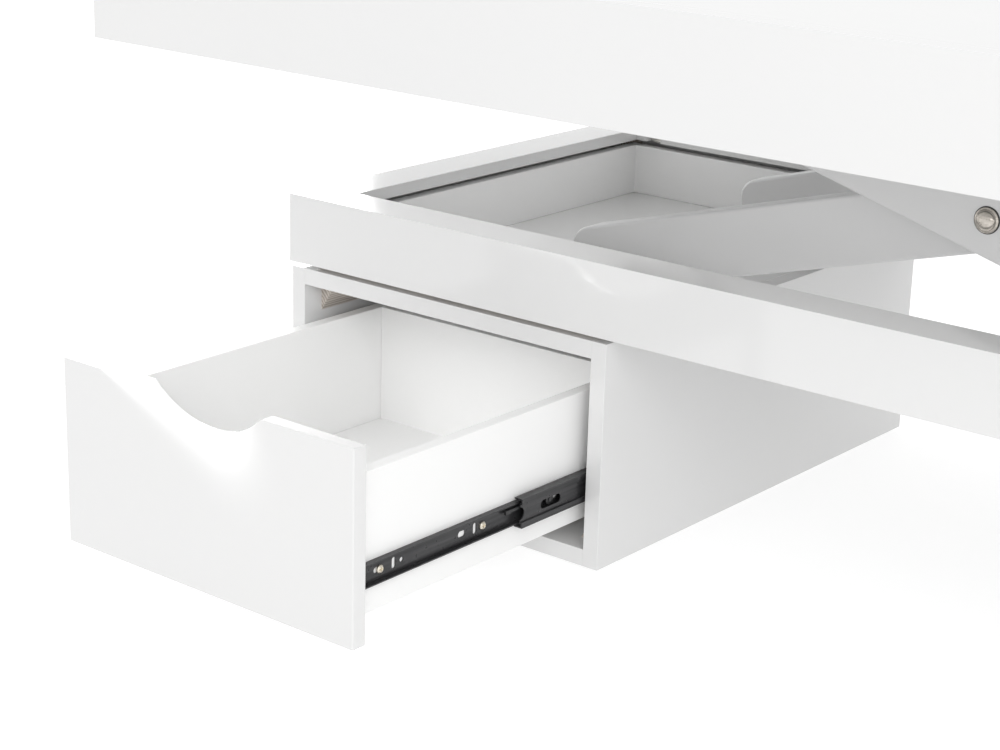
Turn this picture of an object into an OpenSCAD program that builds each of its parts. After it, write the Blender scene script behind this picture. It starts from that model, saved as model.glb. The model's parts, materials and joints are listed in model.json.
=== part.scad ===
// Lift top coffee table: a ring frame on two drawer cabinets, with a hollow top on a
// scissor lift. X runs along the table, Y from front to back, Z up from the floor.

/* [Ring frame] */
// Length of the ring frame
ring_l = 1358; // [1340:2:1500]
// Width of the ring frame, front to back
ring_w = 546; // [546:2:600]
// Height of the rails
rail_h = 66; // [60:1:80]
// Width of a rail's top
rail_w = 46; // [42:1:50]
// Thickness of the rails' outer boards
fascia_t = 16; // [12:1:18]
// Thickness of the rails' top boards
flange_t = 12; // [8:1:14]
// Height of the dark gap between the ring and the cabinets
shadow_gap = 5.5; // [3:0.5:10]

/* [Cabinets and drawers] */
// Width of a cabinet
cab_w = 376; // [360:2:400]
// Height of a cabinet
cab_h = 210; // [205:1:240]
// Thickness of the cabinet boards
board_t = 16; // [14:1:18]
// Height of the floor glides
foot_h = 4; // [3:1:12]
// How far the left drawer is out
left_drawer_out = 298; // [0:1:340]
// How far the right drawer is out
right_drawer_out = 0; // [0:1:340]
// Height of a drawer front
front_h = 169; // [165:1:171]
// Width of the finger scoop in a drawer front
scoop_w = 137; // [100:1:180]
// Depth of the finger scoop
scoop_d = 26.5; // [20:0.5:32]

/* [Lift] */
// Angle of the arms above level, as drawn
lift_angle = 15.55; // [8:0.05:22]
// Lowest angle of the arms, where the top rests on the ring
closed_angle = 4.92; // [4.92:0.02:6]
// Highest angle of the arms
open_angle = 24; // [23:0.5:24]
// Distance from an arm's centre bolt to its end pins
arm_reach = 412; // [400:1:420]
// Height of an arm's section
arm_h = 60; // [50:1:60]
// Thickness of an arm's section
arm_t = 30; // [24:1:30]

/* [Top] */
// Length of the top
top_l = 1550; // [1500:10:1700]
// Width of the top
top_w = 850; // [820:10:900]
// Height of the top's sides
top_h = 95; // [90:1:110]
// Thickness of the top's boards
panel_t = 18; // [15:1:22]

/* [Hidden] */

white = [0.94, 0.94, 0.94];
inner_white = [0.88, 0.88, 0.88];
arm_grey = [0.78, 0.78, 0.78];
slide_black = [0.12, 0.12, 0.12];
raw_wood = [0.80, 0.68, 0.52];
zinc = [0.75, 0.73, 0.66];

// Levels and edges of the ring and the cabinets
cab_top = foot_h + cab_h;
ring_bottom = cab_top + shadow_gap;
ring_top = ring_bottom + rail_h;
x_end = ring_l / 2;
y_front = -ring_w / 2;
y_back = ring_w / 2;
cab_setback = 4;
cab_front = y_front + cab_setback;
cab_inner_x = x_end - cab_w;
cab_mid_x = x_end - cab_w / 2;
opening_w = cab_w - 2 * board_t;
back_t = 9;

// Ring furniture: battens, glue blocks and the tray's low walls
batten_h = 40;
wall_t = 12;
wall_top = ring_top - flange_t - 6;
cavity_w = rail_w - wall_t - fascia_t;
block_size = 17;
glue_w = 20;
glue_h = 30;
glue_l = 60;
glue_setback = 23.5;
catch_x = -x_end + 60;
catch_l = 18;
catch_depth = 9;

// Drawer sizes, measured with the drawer shut
front_t = 15;
front_side_gap = 2;
front_foot_gap = 2.5;
front_bottom = foot_h + board_t + front_foot_gap;
slide_gap = 12.7;
side_t = 12;
side_h = 121;
side_bottom = front_bottom + 20;
side_l = 378;
drawer_w = opening_w - 2 * slide_gap;
floor_t = 3;
floor_up = 2;
groove = 4;
side_front = cab_front + front_t;
scoop_r = (pow(scoop_w / 2, 2) + pow(scoop_d, 2)) / (2 * scoop_d);

// Ball-bearing slides. Depth runs from the cabinet's side towards the drawer.
slide_l = 350;
slide_z = side_bottom + 35;
slide_front = side_front + 3;
sheet = 1.2;
outer_half = 17.5;
outer_depth = 11;
middle_half = 13.4;
middle_l = 296;
middle_setback = 45;
middle_race = 2.7;
middle_web = 4.4;
middle_depth = 11.2;
drawer_half = 10;
drawer_race = 7;
window_at = 28;
window_l = 28;
lever_pivot = 239;
lever_l = 61;
lever_up = 4;
peep_at = 249;
front_screw = 23;
middle_screw = 151;
back_screw = 320;
cabinet_screws = [36, 128, 224, 320];

// Scissor lift. Pins lie at both ends of every arm.
arm_end = 30;
arm_end_r = 20;
arm_wall = 2.5;
bore_r = 6.05;
axle_r = 6;
boss_r = 10;
pin_z = cab_top + 38.5;
pin_x = -arm_reach * cos(lift_angle);
centre_z = pin_z + arm_reach * sin(lift_angle);
upper_pin_z = pin_z + 2 * arm_reach * sin(lift_angle);
arm_b_front = y_front + 85;
arm_gap = 2;
arm_a_front = arm_b_front + arm_t + arm_gap;
arm_a_back = arm_a_front + arm_t;
pin_cap = 4;
bracket_t = 3;
bracket_play = 0.5;
bracket_half = 28;
bracket_flange = 20;
lower_ear_r = 11;
upper_ear_r = 16;
bracket_hole_x = 20;
bracket_hole_y = 12;
roller_r = 11;
roller_w = 14;
track_play = 0.4;
track_t = 2.5;
track_depth = 18;
roller_gap = 3;

// Hollow top, hung from the upper pins
pin_above_apron = 35.4;
apron_bottom = upper_pin_z - pin_above_apron;
top_z = apron_bottom + top_h;
panel_bottom = top_z - panel_t;
under_t = 12;
bumper_h = 1.8;

// The model's origin is under the middle of everything, the open drawer included
open_reach = cab_front - max(left_drawer_out, right_drawer_out);
y_low = min(open_reach, -top_w / 2);
y_shift = -(y_low + top_w / 2) / 2;

module span(x0, x1, y0, y1, z0, z1) {
  translate([x0, y0, z0]) cube([x1 - x0, y1 - y0, z1 - z0]);
}

// Repeats a shape at the other end of the table
module both_ends() {
  children();
  mirror([1, 0, 0]) children();
}

// Repeats a shape on the other side of the table's long centre line
module near_and_far() {
  children();
  mirror([0, 1, 0]) children();
}

// Puts a shape drawn on the right-hand cabinet onto the left or the right one
module at_cabinet(side) {
  mirror([side < 0 ? 1 : 0, 0, 0]) children();
}

// A cylinder along Y
module rod(r, y0, y1, x = 0, z = 0) {
  translate([x, y0, z]) rotate([-90, 0, 0]) cylinder(r = r, h = y1 - y0, $fn = 48);
}

// A cylinder along X
module cross_rod(r, x0, x1, y = 0, z = 0) {
  translate([x0, y, z]) rotate([0, 90, 0]) cylinder(r = r, h = x1 - x0, $fn = 36);
}

// A pan-head screw whose head rises along +Z from its seat
module screw(head_r, head_h, shank_r, shank_l) {
  difference() {
    union() {
      cylinder(r = head_r, h = head_h * 0.6, $fn = 32);
      translate([0, 0, head_h * 0.6]) cylinder(r1 = head_r, r2 = head_r * 0.7, h = head_h * 0.4, $fn = 32);
      translate([0, 0, -shank_l]) cylinder(r = shank_r, h = shank_l, $fn = 24);
    }
    for (a = [0, 90]) {
      rotate([0, 0, a]) translate([-head_r * 0.6, -head_r * 0.14, head_h * 0.45])
        cube([head_r * 1.2, head_r * 0.28, head_h]);
    }
  }
}

// ---- Ring frame ----

module long_rail() {
  span(-x_end, x_end, y_front, y_front + fascia_t, ring_bottom, ring_top);
  span(-x_end, x_end, y_front, y_front + rail_w, ring_top - flange_t, ring_top);
}

module end_rail() {
  fascia_end = y_back - fascia_t;
  flange_end = y_back - rail_w;
  span(x_end - fascia_t, x_end, -fascia_end, fascia_end, ring_bottom, ring_top - flange_t);
  span(x_end - rail_w, x_end, -flange_end, flange_end, ring_top - flange_t, ring_top);
}

module rail_front() color(white) long_rail();

// A notch in the back rail's lip holds a small steel catch plate
module rail_back() color(white) difference() {
  mirror([0, 1, 0]) long_rail();
  span(catch_x, catch_x + catch_l, y_back - rail_w - 1, y_back - rail_w + catch_depth,
       ring_top - flange_t - 1, ring_top + 1);
}

module rail_left() color(white) mirror([1, 0, 0]) end_rail();
module rail_right() color(white) end_rail();

module catch_plate() color(zinc) {
  back = y_back - rail_w + catch_depth;
  difference() {
    union() {
      span(catch_x + 1, catch_x + catch_l - 1, back - 1.5, back, ring_top - 11, ring_top - 2);
      span(catch_x + 9, catch_x + catch_l - 1, back - 8, back, ring_top - 11, ring_top - 9.5);
    }
    rod(1.6, back - 4, back + 1, catch_x + 5, ring_top - 6);
  }
}

module glue_block() {
  rotate([90, 0, 0]) linear_extrude(height = glue_l) polygon([[0, 0], [glue_w, 0], [0, glue_h]]);
}

module corner_blocks() color(raw_wood) both_ends() {
  outer = x_end - fascia_t;
  near_and_far() span(outer - block_size, outer, y_front + fascia_t,
                      y_front + fascia_t + block_size, cab_top + batten_h + 1,
                      ring_top - flange_t);
  for (s = [-1, 1]) {
    for (y = [cab_front + glue_setback + glue_l, y_back - back_t - 6]) {
      translate([cab_mid_x - s * opening_w / 2, y, foot_h + board_t])
        mirror([s < 0 ? 1 : 0, 0, 0]) glue_block();
      translate([cab_mid_x - s * opening_w / 2, y, cab_top - board_t])
        mirror([s < 0 ? 1 : 0, 0, 0]) mirror([0, 0, 1]) glue_block();
    }
  }
}

module ring_battens() color(raw_wood) both_ends() {
  inset = 24;
  inner = x_end - fascia_t;
  near_and_far() span(cab_inner_x + inset, x_end - inset, y_front + fascia_t,
                      y_front + fascia_t + cavity_w - 1, cab_top, cab_top + batten_h);
  span(inner - cavity_w + 1, inner, y_front + 60, y_back - 60, cab_top, cab_top + batten_h);
}

module tray_walls() color(inner_white) both_ends() {
  wall_out = rail_w - wall_t;
  near_and_far() span(cab_inner_x, x_end - wall_out, y_front + wall_out, y_front + rail_w,
                      cab_top, wall_top);
  span(x_end - rail_w, x_end - wall_out, y_front + rail_w, y_back - rail_w, cab_top, wall_top);
}

// ---- Cabinets ----

module cabinet_top() color(white)
  span(cab_inner_x + board_t, x_end - board_t, cab_front, y_back, cab_top - board_t, cab_top);

module cabinet_bottom() color(white)
  span(cab_inner_x + board_t, x_end - board_t, cab_front, y_back, foot_h, foot_h + board_t);

module cabinet_sides() color(white) {
  for (x = [cab_inner_x, x_end - board_t]) {
    span(x, x + board_t, cab_front, y_back, foot_h, cab_top);
  }
}

module cabinet_back() color(inner_white)
  span(cab_inner_x + board_t, x_end - board_t, y_back - back_t, y_back,
       foot_h + board_t, cab_top - board_t);

module left_cabinet_top() at_cabinet(-1) cabinet_top();
module left_cabinet_bottom() at_cabinet(-1) cabinet_bottom();
module left_cabinet_sides() at_cabinet(-1) cabinet_sides();
module left_cabinet_back() at_cabinet(-1) cabinet_back();
module right_cabinet_top() cabinet_top();
module right_cabinet_bottom() cabinet_bottom();
module right_cabinet_sides() cabinet_sides();
module right_cabinet_back() cabinet_back();

module floor_glides() color([0.2, 0.2, 0.2]) both_ends() {
  inset = 30;
  for (x = [cab_inner_x + inset, x_end - inset]) {
    for (y = [cab_front + inset, y_back - inset]) {
      translate([x, y, 0]) cylinder(r1 = 10, r2 = 12, h = 1.2, $fn = 40);
      translate([x, y, 1.2]) cylinder(r = 12, h = foot_h - 1.2, $fn = 40);
    }
  }
}

// ---- Drawers, drawn shut in the right-hand cabinet ----

module drawer_front() color(white) difference() {
  span(cab_mid_x - opening_w / 2 + front_side_gap, cab_mid_x + opening_w / 2 - front_side_gap,
       cab_front, side_front, front_bottom, front_bottom + front_h);
  translate([cab_mid_x, cab_front - 1, front_bottom + front_h - scoop_d + scoop_r])
    rotate([-90, 0, 0]) cylinder(r = scoop_r, h = front_t + 2, $fn = 180);
}

module drawer_floor(grow) {
  half = drawer_w / 2 - side_t + grow;
  span(cab_mid_x - half, cab_mid_x + half, side_front, side_front + side_l - side_t,
       side_bottom + floor_up, side_bottom + floor_up + floor_t);
}

module drawer_sides() color(inner_white) difference() {
  for (x = [cab_mid_x - drawer_w / 2, cab_mid_x + drawer_w / 2 - side_t]) {
    span(x, x + side_t, side_front, side_front + side_l, side_bottom, side_bottom + side_h);
  }
  drawer_floor(groove);
}

module drawer_back() color(inner_white) {
  half = drawer_w / 2 - side_t;
  span(cab_mid_x - half, cab_mid_x + half, side_front + side_l - side_t, side_front + side_l,
       side_bottom, side_bottom + side_h);
}

module drawer_bottom() color(inner_white) drawer_floor(groove);

// Draws one slide on the cabinet's left side and its mirror image on the right side.
// Inside it, X is the depth from the cabinet's side and Z is the height from the centre line.
module slide_pair() {
  for (s = [-1, 1]) {
    translate([cab_mid_x - s * opening_w / 2, 0, slide_z])
      mirror([s < 0 ? 1 : 0, 0, 0]) children();
  }
}

module upright_slot(y, height, r) {
  half = height / 2 - r;
  span(0, 20, y - r, y + r, -half, half);
  for (z = [-half, half]) cross_rod(r, 0, 20, y, z);
}

module level_slot(y, length, r) {
  half = length / 2 - r;
  span(0, 20, y - half, y + half, -r, r);
  for (dy = [-half, half]) cross_rod(r, 0, 20, y + dy, 0);
}

module cabinet_member() difference() {
  union() {
    span(0, sheet, slide_front, slide_front + slide_l, -outer_half, outer_half);
    for (z = [-outer_half, outer_half - sheet]) {
      span(0, outer_depth, slide_front, slide_front + slide_l, z, z + sheet);
    }
  }
  for (y = cabinet_screws) level_slot(slide_front + y, 12, 2.2);
}

module cabinet_slide_members() color(slide_black) both_ends() slide_pair() cabinet_member();

// The middle member: a recessed web between two rounded races
module middle_member() {
  y0 = slide_front + middle_setback;
  difference() {
    union() {
      span(middle_web, middle_web + sheet, y0, y0 + middle_l, -9.2, 9.2);
      for (s = [-1, 1]) {
        mirror([0, 0, s < 0 ? 1 : 0]) {
          span(middle_race, middle_web + sheet, y0, y0 + middle_l, 8, 9.2);
          span(middle_race, middle_race + sheet, y0, y0 + middle_l, 9.2, middle_half);
          span(middle_race, middle_depth, y0, y0 + middle_l, middle_half - sheet, middle_half);
        }
      }
    }
    level_slot(y0 + window_at + window_l / 2, window_l, 4.1);
    level_slot(y0 + 205, 30, 3);
    cross_rod(6, 0, 20, y0 - 1, 0);
  }
}

module drawer_member() {
  y0 = slide_front;
  web = slide_gap - sheet;
  difference() {
    union() {
      span(web, slide_gap, y0, y0 + slide_l, -drawer_half, drawer_half);
      for (z = [-drawer_half, drawer_half - sheet]) {
        span(drawer_race, slide_gap, y0, y0 + slide_l, z, z + sheet);
      }
    }
    for (y = [front_screw, middle_screw, back_screw]) cross_rod(2.3, 0, 20, y0 + y, 0);
    level_slot(y0 + front_screw - 3.5, 6.5, 2.6);
    cross_rod(2.2, 0, 20, y0 + 49.5, 0);
    for (y = [40, 141.5]) upright_slot(y0 + y, 10, 2.2);
    level_slot(y0 + 124.5, 9.2, 2.8);
    level_slot(y0 + peep_at, 10, 3);
    level_slot(y0 + 285, 12, 2.2);
  }
}

// Balls in their thin cages: a large pair of rows outside the middle member, a small pair inside
module ball_cage(web0, web1, lip, depth, lip_t, ball_r, y0, length, pitch) {
  span(web0, web1, y0, y0 + length, -lip, lip);
  for (s = [-1, 1]) {
    span(web0, depth, y0, y0 + length, s > 0 ? lip - lip_t : -lip, s > 0 ? lip : lip_t - lip);
    for (y = [y0 + pitch / 2 : pitch : y0 + length - pitch / 2]) {
      translate([depth - 2.2, y, s * (lip - lip_t / 2)]) sphere(r = ball_r, $fn = 24);
    }
  }
}

module slide_cages() color(zinc) slide_pair() {
  y0 = slide_front + middle_setback;
  ball_cage(1.5, 2.3, 15.25, 9, 0.8, 1.3, y0 + 130, 160, 32);
  ball_cage(5.95, 6.35, 11.4, 10.6, 0.6, 0.95, y0 + 68, 60, 20);
}

// A release lever: a bar above the centre line, a finger tab in front and an eye on its pin behind
module slide_lever() {
  y1 = slide_front + lever_pivot;
  y0 = y1 - lever_l;
  span(8, 9.6, y0, y1, lever_up - 1.3, lever_up + 1.3);
  span(7.4, 9.8, y0, y0 + 6, lever_up - 1.8, lever_up + 1.8);
  cross_rod(5, 8, 9.6, y1, 0);
}

module drawer_members() color(slide_black) slide_pair() {
  drawer_member();
  cross_rod(1.95, 7.4, slide_gap, slide_front + lever_pivot, 0);
}

module slide_levers() color([0.07, 0.07, 0.07]) slide_pair() difference() {
  slide_lever();
  cross_rod(2, 0, 20, slide_front + lever_pivot, 0);
}

module drawer_screws() color(zinc) slide_pair() {
  for (y = [front_screw, middle_screw, back_screw]) {
    translate([slide_gap - sheet, slide_front + y, 0]) rotate([0, -90, 0])
      screw(3.6, 2, 1.9, 11);
  }
}

module left_drawer_shift() {
  translate([0, -left_drawer_out, 0]) at_cabinet(-1) children();
}

module right_drawer_shift() {
  translate([0, -right_drawer_out, 0]) children();
}

// The middle members travel half as far as the drawer
module left_middle_shift() {
  translate([0, -left_drawer_out / 2, 0]) at_cabinet(-1) children();
}

module right_middle_shift() {
  translate([0, -right_drawer_out / 2, 0]) children();
}

module left_drawer_front() left_drawer_shift() drawer_front();
module left_drawer_sides() left_drawer_shift() drawer_sides();
module left_drawer_back() left_drawer_shift() drawer_back();
module left_drawer_bottom() left_drawer_shift() drawer_bottom();
module left_drawer_members() left_drawer_shift() drawer_members();
module left_drawer_screws() left_drawer_shift() drawer_screws();
module left_slide_levers() left_drawer_shift() slide_levers();
module left_slide_middles() left_middle_shift() color(slide_black) slide_pair() middle_member();
module left_slide_cages() left_middle_shift() slide_cages();
module right_drawer_front() right_drawer_shift() drawer_front();
module right_drawer_sides() right_drawer_shift() drawer_sides();
module right_drawer_back() right_drawer_shift() drawer_back();
module right_drawer_bottom() right_drawer_shift() drawer_bottom();
module right_drawer_members() right_drawer_shift() drawer_members();
module right_drawer_screws() right_drawer_shift() drawer_screws();
module right_slide_levers() right_drawer_shift() slide_levers();
module right_slide_middles() right_middle_shift() color(slide_black) slide_pair() middle_member();
module right_slide_cages() right_middle_shift() slide_cages();

// ---- Scissor lift ----

module rounded_bar(length, height, r) {
  square([length - 2 * r, height], center = true);
  square([length, height - 2 * r], center = true);
  for (x = [-1, 1]) {
    for (y = [-1, 1]) {
      translate([x * (length / 2 - r), y * (height / 2 - r)]) circle(r = r, $fn = 64);
    }
  }
}

// A rectangular tube along X, its front face at y0, with a bushed bore at each pin. The
// left pin's bore stops short of the back face by left_cap.
module arm(y0, left_cap) {
  full = 2 * (arm_reach + arm_end);
  difference() {
    union() {
      difference() {
        translate([0, y0 + arm_t, 0]) rotate([90, 0, 0]) linear_extrude(height = arm_t)
          rounded_bar(full, arm_h, arm_end_r);
        translate([0, y0 + arm_t - arm_wall, 0]) rotate([90, 0, 0])
          linear_extrude(height = arm_t - 2 * arm_wall)
            rounded_bar(full - 2 * arm_wall, arm_h - 2 * arm_wall, arm_end_r - arm_wall);
      }
      for (x = [-arm_reach, 0, arm_reach]) rod(boss_r, y0 + 1, y0 + arm_t - 1, x);
    }
    for (x = [0, arm_reach]) rod(bore_r, y0 - 1, y0 + arm_t + 1, x);
    rod(bore_r, y0 - 1, y0 + arm_t - left_cap, -arm_reach);
    translate([arm_reach - 60, y0 + arm_t / 2, -arm_h / 2 - 1]) cylinder(r = 3, h = 6, $fn = 24);
  }
}

// Turns a shape drawn along X to an arm's own slope about the centre bolt
module rising() {
  translate([0, 0, centre_z]) rotate([0, -lift_angle, 0]) children();
}

module falling() {
  translate([0, 0, centre_z]) rotate([0, lift_angle, 0]) children();
}

module arm_a_near() color(arm_grey) rising() arm(arm_a_front, pin_cap);
module arm_a_far() color(arm_grey) mirror([0, 1, 0]) rising() arm(arm_a_front, pin_cap);
module arm_b_near() color(arm_grey) falling() arm(arm_b_front, -1);
module arm_b_far() color(arm_grey) mirror([0, 1, 0]) falling() arm(arm_b_front, -1);

module centre_tube() color(arm_grey) difference() {
  rod(11, arm_a_back, -arm_a_back, 0, centre_z);
  rod(axle_r, arm_a_back - 1, -arm_a_back + 1, 0, centre_z);
}

// Domed bolt heads against the outer arms, with shanks into the centre tube
module centre_bolts() color([0.8, 0.8, 0.8]) near_and_far() {
  head_r = 10;
  head_h = 6.5;
  dome_r = (head_r * head_r + head_h * head_h) / (2 * head_h);
  seat = arm_b_front - 0.4;
  translate([0, 0, centre_z]) {
    rod(axle_r, seat, arm_a_back + 20);
    intersection() {
      translate([0, seat - head_h + dome_r, 0]) sphere(r = dome_r, $fn = 64);
      rod(head_r, seat - head_h, seat);
    }
  }
}

module arm_washers() color([0.9, 0.9, 0.9]) near_and_far() difference() {
  rod(13, arm_b_front + arm_t + 0.4, arm_a_front, 0, centre_z);
  rod(axle_r, arm_b_front, arm_a_front + 1, 0, centre_z);
}

// Places of a bracket's foot screws, on both sides of its arm
module at_bracket_holes(arm_front) {
  outer = arm_front - bracket_play - bracket_t - bracket_hole_y;
  inner = arm_front + arm_t + bracket_play + bracket_t + bracket_hole_y;
  for (x = [-bracket_hole_x, bracket_hole_x]) {
    for (y = [outer, inner]) translate([pin_x + x, y, 0]) children();
  }
}

// A bracket with its foot at z0 and its pin at z1. An ear stands at each front face in ears.
module pivot_bracket(arm_front, z0, z1, ear_r, ears) {
  foot0 = z1 < z0 ? z0 - bracket_t : z0;
  outer = arm_front - bracket_play - bracket_t;
  inner = arm_front + arm_t + bracket_play + bracket_t;
  difference() {
    union() {
      span(pin_x - bracket_half, pin_x + bracket_half, outer - bracket_flange,
           inner + bracket_flange, foot0, foot0 + bracket_t);
      for (y = ears) {
        span(pin_x - ear_r, pin_x + ear_r, y, y + bracket_t, min(z0, z1), max(z0, z1));
        rod(ear_r, y, y + bracket_t, pin_x, z1);
      }
    }
    rod(axle_r, outer - 1, inner + 1, pin_x, z1);
    at_bracket_holes(arm_front) translate([0, 0, foot0 - 1])
      cylinder(r = 2.3, h = bracket_t + 2, $fn = 24);
  }
}

module lower_brackets() color(zinc) near_and_far()
  pivot_bracket(arm_a_front, cab_top, pin_z, lower_ear_r, [arm_a_front - bracket_play - bracket_t]);

module upper_brackets() color(zinc) near_and_far()
  pivot_bracket(arm_b_front, panel_bottom, upper_pin_z, upper_ear_r,
                [arm_b_front - bracket_play - bracket_t, arm_b_front + arm_t + bracket_play]);

// Short pins through the outer ears, headed outside and blind in the arms
module lower_pins() color(zinc) near_and_far() {
  ear_face = arm_a_front - bracket_play - bracket_t;
  rod(axle_r, ear_face, arm_a_front + arm_t - pin_cap - 1, pin_x, pin_z);
  rod(9, ear_face - 2.5, ear_face, pin_x, pin_z);
}

module upper_axle() color(zinc) {
  reach = arm_b_front - bracket_play - bracket_t - 4;
  rod(axle_r, reach, -reach, pin_x, upper_pin_z);
  near_and_far() rod(9, reach + 1, reach + 3, pin_x, upper_pin_z);
}

// The rollers' ends of the arms, and how far they travel along X
roller_x = arm_reach * cos(lift_angle);
track_x0 = arm_reach * (2 * cos(open_angle) - cos(lift_angle)) - roller_r - 6;
track_x1 = arm_reach * (2 * cos(closed_angle) - cos(lift_angle)) + roller_r + 6;
lower_roller_back = arm_b_front - roller_gap;
lower_roller_front = lower_roller_back - roller_w;
upper_roller_front = arm_a_back + roller_gap;
upper_roller_back = upper_roller_front + roller_w;

module lower_roller_axle() color(zinc) {
  reach = lower_roller_front - 1;
  rod(axle_r, reach, -reach, roller_x, pin_z);
}

// Stub axles that end short of the tracks' webs
module upper_roller_axles() color(zinc) near_and_far()
  rod(axle_r, arm_a_front, upper_roller_back + 1, roller_x, upper_pin_z);

module roller(y0, z) difference() {
  rod(roller_r, y0, y0 + roller_w, roller_x, z);
  rod(bore_r, y0 - 1, y0 + roller_w + 1, roller_x, z);
  for (y = [y0 - 1, y0 + roller_w - 1]) {
    difference() {
      rod(9.4, y, y + 2, roller_x, z);
      rod(7.6, y - 1, y + 3, roller_x, z);
    }
  }
}

module lower_rollers() color([0.9, 0.9, 0.88]) near_and_far() roller(lower_roller_front, pin_z);
module upper_rollers() color([0.9, 0.9, 0.88]) near_and_far()
  roller(upper_roller_front, upper_pin_z);

// A C-shaped track: its web at y_web, open towards the side named by dir, its foot at z_foot
module track(y_web, dir, z_mid, z_foot) {
  half = roller_r + track_play;
  y0 = dir > 0 ? y_web : y_web - track_t;
  tip0 = dir > 0 ? y_web : y_web - track_depth;
  foot0 = dir > 0 ? y_web - 18 : y_web;
  low = min(z_mid - half - track_t, z_foot);
  high = max(z_mid + half + track_t, z_foot);
  foot_z = z_foot < z_mid ? z_foot : z_foot - track_t;
  difference() {
    union() {
      span(track_x0, track_x1, y0, y0 + track_t, low, high);
      for (z = [z_mid - half - track_t, z_mid + half]) {
        span(track_x0, track_x1, tip0, tip0 + track_depth, z, z + track_t);
      }
      span(track_x0, track_x1, foot0 + (dir > 0 ? 1 : -1) * track_t,
           foot0 + 18 + (dir > 0 ? 1 : -1) * track_t, foot_z, foot_z + track_t);
    }
    for (x = [track_x0 + 12, track_x1 - 12]) {
      translate([x, foot0 + 9, foot_z - 1]) cylinder(r = 2.3, h = track_t + 2, $fn = 24);
    }
  }
}

lower_web = lower_roller_front - 2 - track_t;
upper_web = upper_roller_back + 2 + track_t;

module lower_tracks() color(zinc) near_and_far() track(lower_web, 1, pin_z, cab_top);
module upper_tracks() color(zinc) near_and_far() track(upper_web, -1, upper_pin_z, panel_bottom);

// Torsion springs round the upper axle, swept along a helix. One straight leg of each stands
// up under its bracket's foot and the other lies along the arm below it.
spring_r = 11;
wire_r = 1.5;
spring_pitch = 3.6;
spring_sides = 8;
first_turn = 0.25;
last_turn = 7 + lift_angle / 360;
spring_steps = 130;
panel_leg = panel_bottom - bracket_t - upper_pin_z - 0.3;
arm_leg = 62;

function spring_point(turn) =
  [spring_r * sin(360 * turn), spring_pitch * turn, spring_r * cos(360 * turn)];

function spring_along(turn) = [cos(360 * turn), 0, -sin(360 * turn)];

// Each entry holds a turn and a step along the straight leg beyond it
spring_stops = concat(
  [[first_turn, -panel_leg]],
  [for (i = [0 : spring_steps]) [first_turn + (last_turn - first_turn) * i / spring_steps, 0]],
  [[last_turn, arm_leg]]
);

module torsion_spring() {
  rings = len(spring_stops);
  points = [
    for (s = spring_stops)
      for (k = [0 : spring_sides - 1])
        let (a = 360 * k / spring_sides, out = spring_point(s[0]) - [0, spring_pitch * s[0], 0])
          spring_point(s[0]) + s[1] * spring_along(s[0])
            + wire_r * (cos(a) * out / spring_r + sin(a) * [0, 1, 0])
  ];
  sides = [
    for (i = [0 : rings - 2])
      for (k = [0 : spring_sides - 1])
        let (n = (k + 1) % spring_sides, a = i * spring_sides, b = a + spring_sides)
          [a + k, b + k, b + n, a + n]
  ];
  first = [for (k = [0 : spring_sides - 1]) k];
  last = [for (k = [spring_sides - 1 : -1 : 0]) (rings - 1) * spring_sides + k];
  polyhedron(points = points, faces = concat(sides, [first, last]), convexity = 8);
}

module lift_springs() color([0.3, 0.3, 0.32]) near_and_far()
  translate([pin_x, arm_b_front + arm_t + bracket_play + bracket_t + wire_r + 1, upper_pin_z])
    torsion_spring();

// ---- Hollow top ----

module top_panel() color(white) {
  x = top_l / 2 - panel_t;
  y = top_w / 2 - panel_t;
  span(-x, x, -y, y, panel_bottom, top_z);
}

// Four boards with mitred corners
module top_aprons() color(white) {
  x = top_l / 2;
  y = top_w / 2;
  for (s = [-1, 1]) {
    translate([0, 0, apron_bottom]) linear_extrude(height = top_h)
      polygon([[-x, s * y], [x, s * y], [x - panel_t, s * (y - panel_t)],
               [panel_t - x, s * (y - panel_t)]]);
    translate([0, 0, apron_bottom]) linear_extrude(height = top_h)
      polygon([[s * x, -y], [s * x, y], [s * (x - panel_t), y - panel_t],
               [s * (x - panel_t), panel_t - y]]);
  }
}

// The closing board under the top, cut out over the ring's opening
module top_underside() color(inner_white) difference() {
  x = top_l / 2 - panel_t;
  y = top_w / 2 - panel_t;
  hole_x = x_end - rail_w;
  hole_y = y_back - rail_w;
  span(-x, x, -y, y, apron_bottom, apron_bottom + under_t);
  span(-hole_x, hole_x, -hole_y, hole_y, apron_bottom - 1, apron_bottom + under_t + 1);
}

module top_bumpers() color([0.85, 0.85, 0.85]) near_and_far() {
  for (x = [-600, -200, 200, 600]) {
    translate([x, y_front + rail_w / 2, apron_bottom - bumper_h])
      cylinder(r = 6, h = bumper_h, $fn = 32);
  }
}

// ---- Screws that hold the frame's metalwork ----

module frame_screws() color(zinc) {
  near_and_far() {
    at_bracket_holes(arm_a_front) translate([0, 0, cab_top + bracket_t]) screw(4, 2.4, 2.2, 14);
    for (x = [track_x0 + 12, track_x1 - 12]) {
      translate([x, lower_web - 9, cab_top + track_t]) screw(3.8, 2.2, 2.2, 14);
    }
  }
  both_ends() slide_pair() {
    for (y = cabinet_screws) {
      translate([sheet, slide_front + y, 0]) rotate([0, 90, 0]) screw(3.4, 0.25, 2, 12);
    }
  }
}

// Shifts the drawn node so that the origin is under the middle of the whole
module place() translate([0, y_shift, 0]) children();

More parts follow.
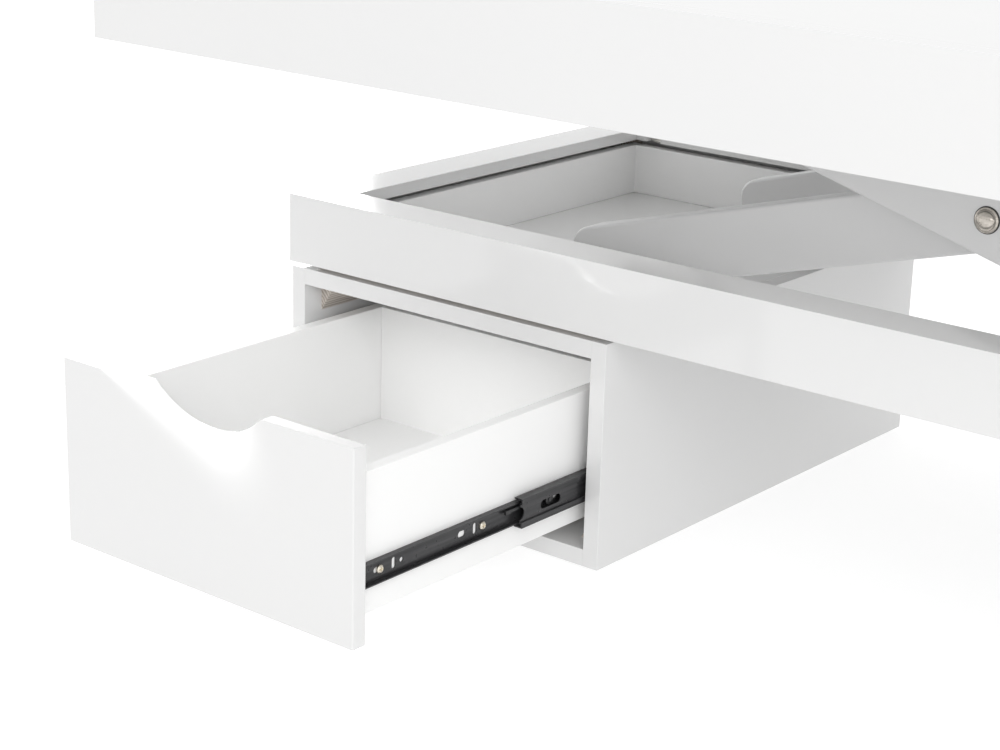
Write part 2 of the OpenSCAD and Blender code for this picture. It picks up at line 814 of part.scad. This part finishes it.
place() rail_front();
place() rail_back();
place() rail_left();
place() rail_right();
place() corner_blocks();
place() ring_battens();
place() left_cabinet_top();
place() left_cabinet_bottom();
place() left_cabinet_sides();
place() left_cabinet_back();
place() right_cabinet_top();
place() right_cabinet_bottom();
place() right_cabinet_sides();
place() right_cabinet_back();
place() floor_glides();
place() tray_walls();
place() catch_plate();
place() lower_brackets();
place() lower_tracks();
place() lower_pins();
place() cabinet_slide_members();
place() frame_screws();
place() left_drawer_front();
place() left_drawer_sides();
place() left_drawer_back();
place() left_drawer_bottom();
place() left_drawer_members();
place() left_drawer_screws();
place() left_slide_middles();
place() left_slide_cages();
place() left_slide_levers();
place() right_drawer_front();
place() right_drawer_sides();
place() right_drawer_back();
place() right_drawer_bottom();
place() right_drawer_members();
place() right_drawer_screws();
place() right_slide_middles();
place() right_slide_cages();
place() right_slide_levers();
place() arm_a_near();
place() arm_a_far();
place() centre_tube();
place() centre_bolts();
place() arm_washers();
place() upper_roller_axles();
place() arm_b_near();
place() arm_b_far();
place() lower_roller_axle();
place() lower_rollers();
place() upper_rollers();
place() top_panel();
place() top_aprons();
place() top_underside();
place() upper_brackets();
place() upper_tracks();
place() upper_axle();
place() lift_springs();
place() top_bumpers();
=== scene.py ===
"""Lift top coffee table: looks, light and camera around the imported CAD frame."""
import json
import math

import bmesh
import bpy
from mathutils import Matrix, Vector


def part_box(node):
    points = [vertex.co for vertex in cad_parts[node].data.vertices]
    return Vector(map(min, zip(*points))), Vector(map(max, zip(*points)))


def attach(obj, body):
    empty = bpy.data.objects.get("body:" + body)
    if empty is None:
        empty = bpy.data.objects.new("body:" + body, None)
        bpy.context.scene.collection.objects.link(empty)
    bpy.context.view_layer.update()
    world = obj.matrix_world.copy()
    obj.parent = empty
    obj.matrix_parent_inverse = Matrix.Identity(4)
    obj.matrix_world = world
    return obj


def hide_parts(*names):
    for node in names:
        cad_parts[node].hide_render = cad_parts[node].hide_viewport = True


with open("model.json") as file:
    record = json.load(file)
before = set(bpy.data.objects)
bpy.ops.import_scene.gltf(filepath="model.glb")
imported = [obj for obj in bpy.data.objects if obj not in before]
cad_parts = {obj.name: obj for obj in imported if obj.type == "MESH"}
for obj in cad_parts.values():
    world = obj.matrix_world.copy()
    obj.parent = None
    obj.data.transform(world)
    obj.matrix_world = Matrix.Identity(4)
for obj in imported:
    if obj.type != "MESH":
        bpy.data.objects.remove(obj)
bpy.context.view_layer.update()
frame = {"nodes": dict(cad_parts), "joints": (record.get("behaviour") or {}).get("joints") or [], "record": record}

MM = 0.001
nodes = frame["nodes"]
joints = {joint["name"]: joint for joint in frame["joints"]}

# ---- Sizes and places read from the frame ----

ring_low, ring_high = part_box("rail_front")
mid_y = (ring_low.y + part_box("rail_back")[1].y) / 2
lower_pin = Vector(joints["lift"]["pos_m"])
upper_pin = Vector(joints["top_pivot"]["pos_m"])
centre = Vector(joints["scissor_centre"]["pos_m"])
arm_reach = (centre - lower_pin).length
lift_angle = math.atan2(centre.z - lower_pin.z, centre.x - lower_pin.x)


# ---- Camera, floor and light ----

# The camera's place from the ring's front left top corner, in lengths of the front rail
CAMERA_PLACE = Vector((1.0490, -1.0639, 0.3451))
# Its yaw to the left, pitch down and roll, in degrees
CAMERA_TURN = (38.80, 17.70, 1.62)
# Millimetres of lens and of sensor, and metres of view
LENS = 78.2
SENSOR = 36
VIEW_NEAR = 0.05
VIEW_FAR = 60

SKY = 0.98
FLOOR_SIZE = 60
SEEN_GLOW = 0.72
BOUNCE_GLOW = 0.43
BOUNCE_DROP = 1 * MM
# Name, then place, target and size in metres, watts, and spread in degrees
LIGHTS = (
    ("fill", (2.2, -2.6, 1.9), (-0.5, -0.3, 0.15), (2.6, 2.6), 43, 180),
    ("side", (3.6, -0.2, 0.9), (-0.4, 0, 0.2), (2.6, 1.6), 4, 180),
    ("drawer_card", (-0.57, -0.50, 0.215), (-0.47, -0.24, 0.03), (0.22, 0.05), 0.07, 60),
    ("left", (-1.6, 0.42, 0.58), (-0.3, 0.10, 0.28), (0.8, 0.25), 4, 180),
    ("tray_card", (-0.50, 0.07, 0.352), (-0.50, 0.07, 0.0), (0.2, 0.3), 0.06, 150),
)


def make_camera():
    """A long lens in front of the ring's right end, looking left and down at the open drawer."""
    ring_length = ring_high.x - ring_low.x
    corner = Vector((ring_low.x, ring_low.y, ring_high.z))
    place = corner + CAMERA_PLACE * ring_length
    yaw, pitch, roll = map(math.radians, CAMERA_TURN)
    data = bpy.data.cameras.new("camera")
    data.lens = LENS
    data.sensor_width = SENSOR
    data.clip_start = VIEW_NEAR
    data.clip_end = VIEW_FAR
    camera = bpy.data.objects.new("camera", data)
    turn = (Matrix.Rotation(yaw, 4, "Z") @ Matrix.Rotation(math.pi / 2 - pitch, 4, "X")
            @ Matrix.Rotation(roll, 4, "Z"))
    camera.matrix_world = Matrix.Translation(place) @ turn
    bpy.context.scene.collection.objects.link(camera)
    bpy.context.scene.camera = camera


def make_area(name, place, target, size, power, spread):
    """A soft light that the camera doesn't see."""
    data = bpy.data.lights.new(name, "AREA")
    data.shape = "RECTANGLE"
    data.size, data.size_y = size
    data.energy = power
    data.spread = math.radians(spread)
    light = bpy.data.objects.new(name, data)
    light.location = place
    light.visible_camera = False
    aim = Vector(target) - Vector(place)
    light.rotation_euler = aim.to_track_quat("-Z", "Y").to_euler()
    bpy.context.scene.collection.objects.link(light)


def make_world(strength):
    world = bpy.data.worlds.new("studio")
    world.use_nodes = True
    background = world.node_tree.nodes["Background"]
    background.inputs["Color"].default_value = (1, 1, 1, 1)
    background.inputs["Strength"].default_value = strength
    bpy.context.scene.world = world


def make_floor(name, height, glow):
    bpy.ops.mesh.primitive_plane_add(size=FLOOR_SIZE, location=(0, 0, height))
    floor = bpy.context.object
    floor.name = name
    floor.data.materials.append(floor_material(name, glow))
    return floor


def make_studio():
    """An even sky, three soft lights, small cards in the hollows and two white floor planes.

    The camera sees the upper plane, and the lower one throws the soft light back up.
    """
    make_world(SKY)
    for light in LIGHTS:
        make_area(*light)
    seen = make_floor("floor", 0, SEEN_GLOW)
    seen.visible_diffuse = False
    seen.visible_shadow = False
    bounce = make_floor("floor_bounce", -BOUNCE_DROP, BOUNCE_GLOW)
    bounce.visible_camera = False
    view = bpy.context.scene.view_settings
    view.view_transform = "Standard"
    view.look = "None"


# ---- Materials ----

class Mat:
    """A node-based material with a few shorthand steps."""

    def __init__(self, name):
        self.mat = bpy.data.materials.new(name)
        self.mat.use_nodes = True
        self.tree = self.mat.node_tree
        self.shader = self.tree.nodes["Principled BSDF"]
        self.coords = self.tree.nodes.new("ShaderNodeTexCoord").outputs["Object"]

    def set(self, **values):
        for key, value in values.items():
            self.shader.inputs[key.replace("_", " ")].default_value = value
        return self

    def mapped(self, scale, turn=(0, 0, 0)):
        mapping = self.tree.nodes.new("ShaderNodeMapping")
        mapping.inputs["Scale"].default_value = scale
        mapping.inputs["Rotation"].default_value = turn
        self.tree.links.new(self.coords, mapping.inputs["Vector"])
        return mapping.outputs["Vector"]

    def noise(self, scale, detail, vector=None):
        node = self.tree.nodes.new("ShaderNodeTexNoise")
        node.inputs["Scale"].default_value = scale
        node.inputs["Detail"].default_value = detail
        self.tree.links.new(vector or self.coords, node.inputs["Vector"])
        return node.outputs["Fac"]

    def ramp(self, source, stops):
        """Colours, or grey levels, against a 0 to 1 value."""
        node = self.tree.nodes.new("ShaderNodeValToRGB")
        while len(node.color_ramp.elements) < len(stops):
            node.color_ramp.elements.new(0.5)
        for element, (at, value) in zip(node.color_ramp.elements, stops):
            element.position = at
            element.color = (*value, 1) if isinstance(value, tuple) else (value,) * 3 + (1,)
        self.tree.links.new(source, node.inputs["Fac"])
        return node.outputs["Color"]

    def link(self, source, socket):
        self.tree.links.new(source, self.shader.inputs[socket])
        return self

    def bump(self, source, strength, distance):
        node = self.tree.nodes.new("ShaderNodeBump")
        node.inputs["Strength"].default_value = strength
        node.inputs["Distance"].default_value = distance
        self.tree.links.new(source, node.inputs["Height"])
        self.tree.links.new(node.outputs["Normal"], self.shader.inputs["Normal"])
        return self

    def tint(self, scale, detail, stops):
        """A base colour that varies with noise."""
        return self.link(self.ramp(self.noise(scale, detail), stops), "Base Color")

    def sheen(self, scale, detail, stops):
        """A roughness that varies with noise."""
        return self.link(self.ramp(self.noise(scale, detail), stops), "Roughness")

    def grain(self, scale, detail, strength, distance):
        """A bumpy skin, with its depth in metres."""
        return self.bump(self.noise(scale, detail), strength, distance)


def floor_material(name, glow):
    m = Mat(name)
    m.tint(2.0, 3, [(0.0, 0.40), (1.0, 0.42)])
    m.set(Roughness=0.9, Emission_Color=(1, 1, 1, 1), Emission_Strength=glow)
    return m.mat


def gloss_lacquer():
    """Sprayed white high-gloss lacquer: a trace of orange peel under a clear, even shine."""
    m = Mat("gloss_lacquer")
    m.tint(1.4, 2, [(0.3, (0.77, 0.77, 0.77)), (0.7, (0.79, 0.79, 0.785))])
    m.sheen(6, 4, [(0.3, 0.10), (0.8, 0.17)])
    m.grain(420, 2, 0.05, 0.0004)
    return m.set(Coat_Weight=0.6, Coat_Roughness=0.04, IOR=1.5).mat


def satin_with_painted_light():
    """The inside faces: a thinner coat that shows the board's faint tooth, its white painted paler than the
    outside lacquer as painted light in the shaded hollows.
    """
    m = Mat("satin_with_painted_light")
    # Near-white base colour: partly the real white board, partly painted light that lifts the shaded insides
    m.tint(2.2, 3, [(0.3, (0.94, 0.94, 0.935)), (0.7, (0.95, 0.95, 0.945))])
    m.sheen(30, 4, [(0.3, 0.36), (0.8, 0.48)])
    return m.grain(900, 4, 0.08, 0.0003).mat


def powder_coat():
    """Pale grey powder coat on steel, with its fine pebbled skin."""
    m = Mat("powder_coat")
    m.tint(3.0, 3, [(0.3, (0.64, 0.64, 0.64)), (0.7, (0.67, 0.67, 0.67))])
    m.sheen(60, 4, [(0.3, 0.38), (0.8, 0.5)])
    return m.grain(1500, 3, 0.16, 0.0004).mat


def black_slide():
    """Black electro-coated steel, rubbed a little brighter along its length."""
    m = Mat("black_slide")
    streaks = m.noise(1.0, 5, m.mapped((260, 9, 260)))
    m.link(m.ramp(streaks, [(0.35, (0.022, 0.022, 0.024)), (0.75, (0.060, 0.060, 0.062))]),
           "Base Color")
    m.sheen(240, 4, [(0.3, 0.26), (0.8, 0.42)])
    m.bump(streaks, 0.10, 0.0002)
    return m.set(Metallic=0.35).mat


def black_plastic():
    m = Mat("black_plastic")
    m.tint(90, 3, [(0.3, (0.014, 0.014, 0.015)), (0.8, (0.03, 0.03, 0.031))])
    m.sheen(400, 3, [(0.3, 0.34), (0.8, 0.5)])
    return m.grain(2600, 2, 0.12, 0.0002).mat


def zinc_plate():
    """Bright zinc plating with a soft cloudy bloom and fine drawing lines."""
    m = Mat("zinc_plate")
    m.tint(40, 5, [(0.3, (0.62, 0.61, 0.58)), (0.75, (0.74, 0.73, 0.70))])
    m.sheen(120, 4, [(0.3, 0.24), (0.8, 0.42)])
    m.bump(m.noise(1.0, 4, m.mapped((60, 2400, 2400))), 0.10, 0.0002)
    return m.set(Metallic=1.0).mat


def nickel():
    """Warm nickel on the drawer's screws, in lighter and darker clouds."""
    m = Mat("nickel")
    m.tint(900, 4, [(0.3, (0.62, 0.57, 0.48)), (0.75, (0.86, 0.81, 0.70))])
    m.sheen(1500, 3, [(0.3, 0.22), (0.8, 0.38)])
    m.grain(3000, 2, 0.1, 0.0001)
    return m.set(Metallic=1.0).mat


def chrome():
    m = Mat("chrome")
    m.tint(300, 3, [(0.3, (0.40, 0.37, 0.33)), (0.75, (0.60, 0.56, 0.51))])
    m.sheen(700, 4, [(0.3, 0.10), (0.8, 0.22)])
    m.grain(1200, 3, 0.08, 0.0002)
    return m.set(Metallic=1.0).mat


def raw_pine():
    """Unfinished, greyed softwood with slanting saw marks and a fuzzy surface."""
    m = Mat("raw_pine")
    wave = m.tree.nodes.new("ShaderNodeTexWave")
    wave.bands_direction = "X"
    bands = {"Scale": 95, "Distortion": 5, "Detail": 4, "Detail Scale": 1.2}
    for socket, value in bands.items():
        wave.inputs[socket].default_value = value
    slant = math.radians(38)
    m.tree.links.new(m.mapped((1, 0.08, 1), (0, slant, 0)), wave.inputs["Vector"])
    m.link(m.ramp(wave.outputs["Fac"], [(0.1, (0.46, 0.40, 0.35)), (0.6, (0.64, 0.58, 0.53)),
                                        (0.95, (0.71, 0.66, 0.61))]), "Base Color")
    m.bump(wave.outputs["Fac"], 0.5, 0.0005)
    return m.set(Roughness=0.75).mat


def nylon():
    m = Mat("nylon")
    m.tint(60, 3, [(0.3, (0.74, 0.73, 0.70)), (0.8, (0.80, 0.80, 0.77))])
    m.sheen(300, 3, [(0.3, 0.35), (0.8, 0.5)])
    return m.grain(1800, 2, 0.08, 0.0002).mat


def glide_plastic():
    m = Mat("glide_plastic")
    m.tint(150, 3, [(0.3, (0.05, 0.05, 0.05)), (0.8, (0.09, 0.09, 0.09))])
    m.grain(1400, 3, 0.25, 0.0004)
    return m.set(Roughness=0.6).mat


def spring_wire():
    m = Mat("spring_wire")
    m.tint(500, 4, [(0.3, (0.10, 0.10, 0.11)), (0.8, (0.20, 0.20, 0.21))])
    m.sheen(900, 3, [(0.3, 0.28), (0.8, 0.42)])
    m.grain(2500, 3, 0.12, 0.0002)
    return m.set(Metallic=0.85).mat


MATERIALS = {
    "gloss_white": gloss_lacquer(),
    "satin_white": satin_with_painted_light(),
    "arm_grey": powder_coat(),
    "slide_black": black_slide(),
    "lever_black": black_plastic(),
    "zinc_steel": zinc_plate(),
    "nickel": nickel(),
    "chrome": chrome(),
    "raw_wood": raw_pine(),
    "roller_nylon": nylon(),
    "glide_plastic": glide_plastic(),
    "spring_steel": spring_wire(),
}


# ---- Mesh tools ----

def mesh_object(name, bm):
    """A linked object made from a bmesh, with its faces turned outwards."""
    bmesh.ops.recalc_face_normals(bm, faces=bm.faces)
    mesh = bpy.data.meshes.new(name)
    bm.to_mesh(mesh)
    bm.free()
    obj = bpy.data.objects.new(name, mesh)
    bpy.context.scene.collection.objects.link(obj)
    return obj


def new_piece(name, bm, body, slot, smooth_angle=40):
    """Turns a bmesh into a piece that rides on a body and takes a record slot's finish."""
    obj = mesh_object(name, bm)
    obj.data.materials.append(MATERIALS[slot])
    obj.data.shade_smooth()
    obj.data.set_sharp_from_angle(angle=math.radians(smooth_angle))
    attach(obj, body)
    return obj


def arc(cx, cy, radius, start, end, steps):
    """Points on an arc, angles in degrees."""
    turns = [math.radians(start + (end - start) * i / steps) for i in range(steps + 1)]
    return [(cx + radius * math.cos(t), cy + radius * math.sin(t)) for t in turns]


def rounded_outline(length, height, radius, steps):
    """A rectangle with round corners, centred on the origin."""
    x, y = length / 2 - radius, height / 2 - radius
    return (arc(x, y, radius, 0, 90, steps) + arc(-x, y, radius, 90, 180, steps)
            + arc(-x, -y, radius, 180, 270, steps) + arc(x, -y, radius, 270, 360, steps))


def loft(bm, rings, close_ends=True):
    """Joins rings of equal length with quads, and closes both ends where asked."""
    loops = [[bm.verts.new(point) for point in ring] for ring in rings]
    for first, second in zip(loops, loops[1:]):
        for i in range(len(first)):
            j = (i + 1) % len(first)
            bm.faces.new((first[i], first[j], second[j], second[i]))
    if close_ends:
        bm.faces.new(loops[0])
        bm.faces.new(loops[-1][::-1])


def lathe(bm, profile, origin, axis, steps=48):
    """Turns (radius, height) points round an axis through the origin point."""
    turn = Vector((0, 0, 1)).rotation_difference(Vector(axis)).to_matrix()
    circle = arc(0, 0, 1, 0, 360, steps)[:-1]
    rings = []
    for radius, height in profile:
        ring = [Vector((radius * x, radius * y, height)) for x, y in circle]
        rings.append([Vector(origin) + turn @ point for point in ring])
    loft(bm, rings)


def cut(obj, tools):
    """Takes the tools' shapes out of a piece for good, and deletes the tools."""
    for tool in tools:
        step = obj.modifiers.new("cut", "BOOLEAN")
        step.operation = "DIFFERENCE"
        step.solver = "EXACT"
        step.object = tool
    bpy.context.view_layer.update()
    graph = bpy.context.evaluated_depsgraph_get()
    mesh = bpy.data.meshes.new_from_object(obj.evaluated_get(graph))
    obj.modifiers.clear()
    obj.data = mesh
    for tool in tools:
        bpy.data.objects.remove(tool)


def bore_tool(x, y0, y1, radius):
    """A cylinder along Y that cut() takes out."""
    bm = bmesh.new()
    lathe(bm, [(radius, 0), (radius, y1 - y0)], (x, y0, 0), (0, 1, 0))
    return mesh_object("tool", bm)


# ---- Lift arms ----

ARM_H = 60 * MM
ARM_END = 30 * MM
ARM_CORNER = 20 * MM
ARM_EDGE = 3.2 * MM
EDGE_STEPS = 6
CORNER_STEPS = 14
BORE = 6.05 * MM
# The steel left over a lower pin's blind bore, and how far a cut runs past a face
PIN_CAP = 4 * MM
CUT_PAST = 1 * MM


def rolled_edges(depth):
    """Steps (distance across the tube, inset of its outline) that round both of its edges."""
    steps = []
    for step in range(EDGE_STEPS + 1):
        turn = math.radians(90 * step / EDGE_STEPS)
        steps.append((ARM_EDGE * (1 - math.cos(turn)), ARM_EDGE * (1 - math.sin(turn))))
    return steps + [(depth - inset, across) for across, inset in steps]


def arm_bores(outer, inner, inward, rising):
    """Cutters for the three pins. A rising arm keeps a cap over its lower pin."""
    start = outer - inward * CUT_PAST
    tools = []
    for x in (-arm_reach, 0, arm_reach):
        blind = rising and x < 0
        stop = inner - inward * PIN_CAP if blind else inner + inward * CUT_PAST
        tools.append(bore_tool(x, *sorted((start, stop)), BORE))
    return tools


def make_arm(node, body, rising):
    """A pressed steel tube with soft rolled edges, drawn level and then turned to its slope."""
    low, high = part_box(node)
    length = 2 * (arm_reach + ARM_END)
    rings = []
    for across, inset in rolled_edges(high.y - low.y):
        outline = rounded_outline(length - 2 * inset, ARM_H - 2 * inset, ARM_CORNER - inset,
                                  CORNER_STEPS)
        rings.append([(x, low.y + across, z) for x, z in outline])
    bm = bmesh.new()
    loft(bm, rings)
    arm = new_piece(node + "_tube", bm, body, "arm_grey", smooth_angle=30)
    if low.y < mid_y:
        tools = arm_bores(low.y, high.y, 1, rising)
    else:
        tools = arm_bores(high.y, low.y, -1, rising)
    cut(arm, tools)
    normals = arm.modifiers.new("normals", "WEIGHTED_NORMAL")
    normals.weight = 100
    normals.keep_sharp = True
    angle = -lift_angle if rising else lift_angle
    place = Matrix.Translation((centre.x, 0, centre.z))
    arm.data.transform(place @ Matrix.Rotation(angle, 4, "Y"))
    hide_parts(node)


def make_arms():
    for side in ("near", "far"):
        make_arm("arm_a_" + side, "arms_a", True)
        make_arm("arm_b_" + side, "arms_b", False)


# ---- Centre bolts ----

SEAT_DEPTH = 6.5 * MM
CAP_TOP = 6.3 * MM
DOME_R = 8.6 * MM
DOME_RISE = 4.2 * MM
LIP_R = 10.4 * MM
LIP_T = 1.25 * MM
LIP_BELOW = 0.4 * MM
SHANK_R = 6 * MM
SHANK_PAST = 20 * MM
# A turned profile stops this short of its axis
AXIS_R = 0.1 * MM
BOLT_STEPS = 64
# The painted shadow ring's section, a dark sheet in the clearance: distance past the lip and height over the seat,
# in mm
SHADOW_RING_SECTION = ((0.05, -0.3), (0.9, -0.3), (0.8, 0.05), (0.1, 0.1))


def bolt_profile(shank):
    """Radius and height over the seat: down the dome, round the lip and down the shank."""
    dome = []
    for degrees in range(12, 91, 13):
        turn = math.radians(degrees)
        dome.append((DOME_R * math.sin(turn), CAP_TOP - DOME_RISE * (1 - math.cos(turn))))
    lip = [(DOME_R + 0.2 * MM, LIP_T + 0.45 * MM), (DOME_R + 0.7 * MM, LIP_T + 0.05 * MM),
           (LIP_R - 0.3 * MM, LIP_T), (LIP_R, LIP_T - 0.35 * MM), (LIP_R, -LIP_BELOW)]
    stem = [(SHANK_R, -LIP_BELOW), (SHANK_R, -shank), (AXIS_R, -shank)]
    return [(AXIS_R, CAP_TOP), *dome, *lip, *stem]


def painted_shadow_ring(seat, outward):
    """Painted shadow round a cap: a thin closed dark ring just past its lip, in place of the shade in the
    clearance.
    """
    section = [(LIP_R + past * MM, height * MM) for past, height in SHADOW_RING_SECTION]
    rings = []
    for x, z in arc(0, 0, 1, 0, 360, BOLT_STEPS)[:-1]:
        rings.append([(centre.x + radius * x, seat + outward * height, centre.z + radius * z)
                      for radius, height in section])
    rings.append(rings[0])
    bm = bmesh.new()
    loft(bm, rings, close_ends=False)
    bmesh.ops.remove_doubles(bm, verts=bm.verts, dist=1e-3 * MM)
    return bm


def make_bolts():
    """Domed bolt caps on a pressed lip, with a painted shadow ring for the dark line of the clearance round them.
    """
    low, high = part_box("centre_bolts")
    for name, face, outward in (("near", low.y, -1), ("far", high.y, 1)):
        seat = face - outward * SEAT_DEPTH
        arm_low, arm_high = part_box("arm_a_" + name)
        inner = arm_high.y if outward < 0 else arm_low.y
        profile = bolt_profile(abs(seat - inner) + SHANK_PAST)
        bm = bmesh.new()
        lathe(bm, profile, (centre.x, seat, centre.z), (0, outward, 0), BOLT_STEPS)
        cap_piece = new_piece(f"bolt_cap_{name}", bm, "arms_a", "chrome", smooth_angle=50)
        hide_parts("centre_bolts")
        # A black ring that paints the shadow in the clearance round each cap
        bm = painted_shadow_ring(seat, outward)
        new_piece(f"bolt_shadow_ring_{name}", bm, "arms_a", "lever_black")


# ---- Torsion springs ----

COIL_R = 11 * MM
WIRE_R = 1.5 * MM
COIL_PITCH = 3.6 * MM
# Turns round the axle, from its top: one leg rises after a quarter turn, and the other
# leaves after seven, along the arm's slope
COIL_START = 0.25
COIL_END = 7 + math.degrees(lift_angle) / 360
COIL_STEPS = 360
ARM_LEG = 62 * MM


def spring_line(inward, up_leg):
    """A spring's centre line: a leg from above, the coil and a leg along the arm."""
    coil = []
    for i in range(COIL_STEPS + 1):
        turn = COIL_START + (COIL_END - COIL_START) * i / COIL_STEPS
        angle = math.tau * turn
        coil.append(Vector((COIL_R * math.sin(angle), inward * COIL_PITCH * turn,
                            COIL_R * math.cos(angle))))
    above = coil[0] + Vector((0, 0, up_leg))
    along = Vector((math.cos(lift_angle), 0, -math.sin(lift_angle)))
    return [above, *coil, coil[-1] + along * ARM_LEG]


def make_springs():
    """Smooth spring wire in place of the faceted one."""
    low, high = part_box("lift_springs")
    up_leg = high.z - upper_pin.z
    for name, y0, inward in (("near", low.y + WIRE_R, 1), ("far", high.y - WIRE_R, -1)):
        points = spring_line(inward, up_leg)
        shift = Vector((0, -inward * COIL_PITCH * COIL_START, 0))
        curve = bpy.data.curves.new("spring_" + name, "CURVE")
        curve.dimensions = "3D"
        curve.bevel_depth = WIRE_R
        curve.bevel_resolution = 4
        curve.use_fill_caps = True
        line = curve.splines.new("POLY")
        line.points.add(len(points) - 1)
        for spot, point in zip(line.points, points):
            place = Vector((upper_pin.x, y0, upper_pin.z)) + point + shift
            spot.co = (*place, 1)
        spring = bpy.data.objects.new("spring_" + name, curve)
        bpy.context.scene.collection.objects.link(spring)
        curve.materials.append(MATERIALS["spring_steel"])
        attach(spring, "top")
        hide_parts("lift_springs")


# ---- Carried-over CAD nodes ----

WELD_GAP = 0.01 * MM
FLAT_ANGLE = 0.5
EDGE_ANGLE = 35


def soften(node, width, segments):
    """Welds a CAD node's split corners and rounds its sharp edges."""
    obj = nodes[node]
    weld = obj.modifiers.new("weld", "WELD")
    weld.merge_threshold = WELD_GAP
    flat = obj.modifiers.new("flat", "DECIMATE")
    flat.decimate_type = "DISSOLVE"
    flat.angle_limit = math.radians(FLAT_ANGLE)
    bevel = obj.modifiers.new("edges", "BEVEL")
    bevel.width = width
    bevel.segments = segments
    bevel.limit_method = "ANGLE"
    bevel.angle_limit = math.radians(EDGE_ANGLE)
    bevel.harden_normals = False


def edge_rounding(name):
    """The radius and segments of a CAD node's edges, or None where they stay as packed."""
    board = "cabinet_" in name and not name.startswith("cabinet_slide")
    if board or name.startswith(("rail_", "top_aprons", "top_panel")):
        return 0.35 * MM, 2
    if name.endswith("drawer_front"):
        return 1.2 * MM, 3
    if "drawer_sides" in name or "drawer_back" in name or name == "tray_walls":
        return 0.7 * MM, 3
    if name.endswith(("slide_middles", "drawer_members")) or name == "cabinet_slide_members":
        return 0.4 * MM, 2
    return None


def finish_cad():
    """Every CAD node gets its slot's finish, and boards and slides get softly rounded edges.

    The drawers' screws look warmer than the other zinc fixings.
    """
    for part in frame["record"]["subparts"]:
        obj = nodes[part["node"]]
        obj.data.materials.clear()
        obj.data.materials.append(MATERIALS[part["material_slot"]])
    for name in nodes:
        edges = edge_rounding(name)
        if edges:
            soften(name, *edges)
        if name.endswith("drawer_screws"):
            nodes[name].data.materials[0] = MATERIALS["nickel"]


make_camera()
make_studio()
finish_cad()
make_arms()
make_bolts()
make_springs()
